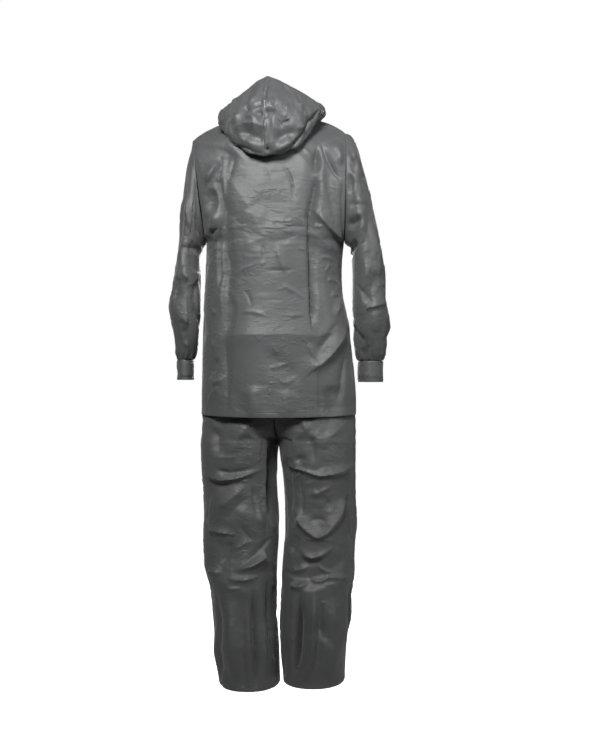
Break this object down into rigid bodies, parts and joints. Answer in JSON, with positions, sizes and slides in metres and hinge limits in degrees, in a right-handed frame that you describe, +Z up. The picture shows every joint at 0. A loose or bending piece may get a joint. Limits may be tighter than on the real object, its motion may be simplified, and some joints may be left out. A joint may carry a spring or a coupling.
{
  "type": "two-piece rain suit, worn",
  "caption": "Hooded zip-front rain jacket over matching straight rain trousers, hollow, in the pose of a standing wearer with the hood down.",
  "frame": {"origin": "middle of the neck, level with the tops of the shoulders, where the wearer holds the suit up", "axes": "+Z up, the suit's back faces -Y, and the wearer's right hand is on +X"},
  "size_m": [0.5192, 0.2917, 1.417],
  "materials": {
    "coated_cloth": "dark grey coated taffeta with a satin sheen",
    "zip_tape": "matt woven tape",
    "zip_metal": "grey enamel"
  },
  "bodies": {
    "suit": {"jacket_back": "coated_cloth", "jacket_front_left": "coated_cloth", "jacket_front_right": "coated_cloth", "sleeve_left": "coated_cloth", "sleeve_right": "coated_cloth", "cuff_left": "coated_cloth", "cuff_right": "coated_cloth", "cuff_tab_left": "coated_cloth", "cuff_tab_right": "coated_cloth", "hood_left": "coated_cloth", "hood_right": "coated_cloth", "trouser_back_left": "coated_cloth", "trouser_back_right": "coated_cloth", "trouser_front_left": "coated_cloth", "trouser_front_right": "coated_cloth", "waistband": "coated_cloth", "zip_tape_left": "zip_tape", "zip_tape_right": "zip_tape", "zip_slider": "zip_metal"},
    "pull_tab": {"zip_pull_tab": "zip_metal"}
  },
  "joints": [
    {"name": "pull_tab_swing", "type": "hinge", "parent": "suit", "child": "pull_tab", "pos_m": [-0.00223, 0.08847, -0.0739], "axis": [1, 0, 0], "range_deg": [0, 150]}
  ]
}
